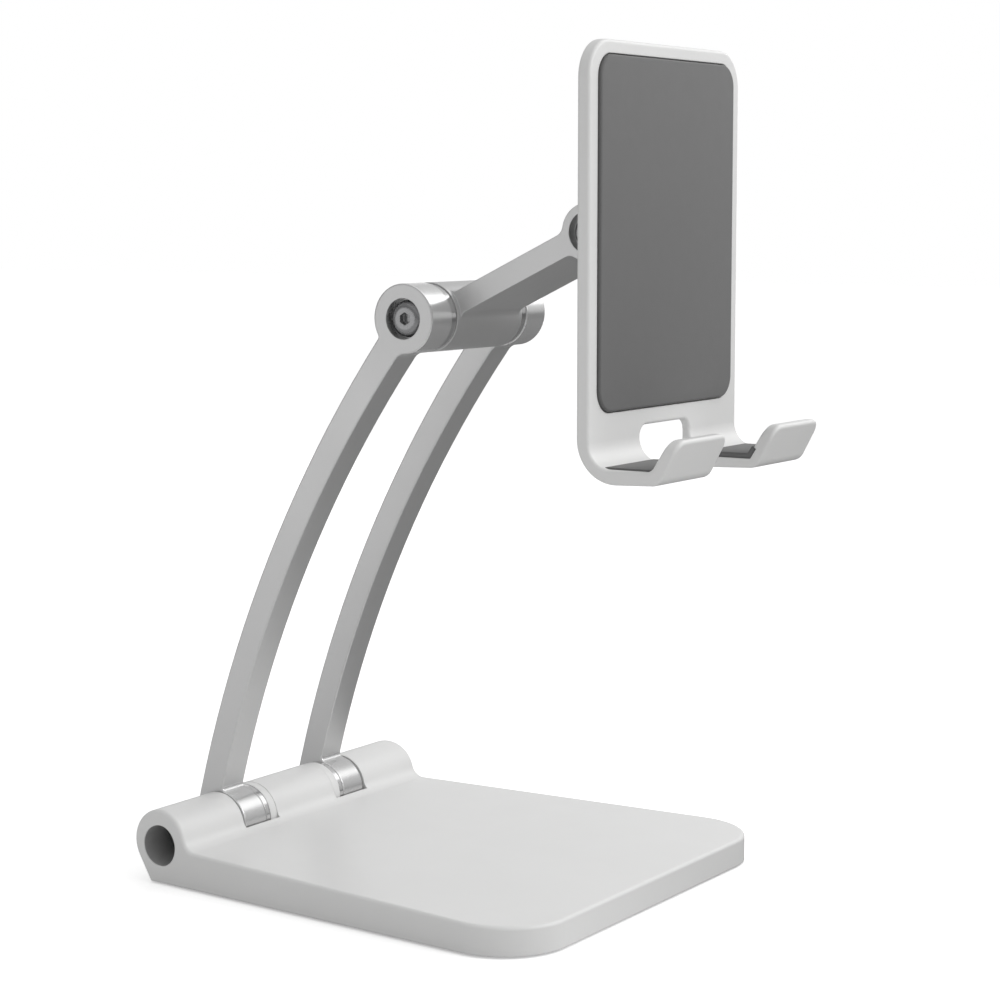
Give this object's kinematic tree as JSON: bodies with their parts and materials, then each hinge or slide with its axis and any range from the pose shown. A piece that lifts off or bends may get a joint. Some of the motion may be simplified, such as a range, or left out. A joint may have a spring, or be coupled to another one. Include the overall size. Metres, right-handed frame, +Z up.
{
  "type": "phone stand",
  "caption": "Folding phone stand: flared base with a rear hinge barrel, two curved rails, a short upper arm and a tilting padded holder with two hooks.",
  "frame": {"origin": "on the table under the middle of the base", "axes": "+X along the hinge barrels to the user's right, -Y towards the user, +Z up"},
  "size_m": [0.1072, 0.1336, 0.1871],
  "materials": {
    "white_paint": "satin white powder coat",
    "satin_aluminium": "fine blasted and anodised",
    "polished_steel": "polished",
    "steel": "zinc plated",
    "grey_silicone": "matt",
    "cover_plastic": "fine texture",
    "bearing_plastic": "smooth"
  },
  "bodies": {
    "base": {"base_shell": "white_paint", "bottom_cover": "cover_plastic", "ballast_plate": "steel", "cover_screws": "steel", "base_mat": "grey_silicone", "base_hinge_bolt": "steel", "base_hinge_washer": "steel", "base_spring_washers": "steel", "base_hinge_nut": "steel", "slip_washer_left": "bearing_plastic", "slip_washer_right": "bearing_plastic", "knuckle_ring_left": "polished_steel", "knuckle_ring_right": "polished_steel", "slot_collar_left": "white_paint", "slot_collar_right": "white_paint"},
    "lower_arm": {"left_rail": "satin_aluminium", "right_rail": "satin_aluminium", "rail_bush_left": "bearing_plastic", "rail_bush_right": "bearing_plastic", "mid_hinge_bolt": "steel", "mid_hinge_nut": "steel", "mid_spring_washers": "steel", "mid_washer_left": "polished_steel", "mid_washer_right": "polished_steel"},
    "upper_arm": {"upper_arm": "satin_aluminium", "mid_bush_left": "bearing_plastic", "mid_bush_right": "bearing_plastic", "tip_hinge_bolt": "steel", "tip_hinge_nut": "steel", "tip_spring_washer": "steel", "tip_washer_left": "bearing_plastic", "tip_washer_right": "bearing_plastic"},
    "holder": {"holder_bracket": "satin_aluminium", "bracket_screws": "steel", "holder_plate": "white_paint", "back_pad": "grey_silicone", "ledge_pad_left": "grey_silicone", "ledge_pad_right": "grey_silicone"}
  },
  "joints": [
    {"name": "base_hinge", "type": "hinge", "parent": "base", "child": "lower_arm", "pos_m": [0, 0.05, 0.0098], "axis": [1, 0, 0], "range_deg": [-20, 30]},
    {"name": "middle_hinge", "type": "hinge", "parent": "lower_arm", "child": "upper_arm", "pos_m": [0, -0.0026, 0.1289], "axis": [1, 0, 0], "range_deg": [-65, 50]},
    {"name": "holder_tilt", "type": "hinge", "parent": "upper_arm", "child": "holder", "pos_m": [0, -0.0424, 0.1478], "axis": [1, 0, 0], "range_deg": [-45, 25]}
  ]
}
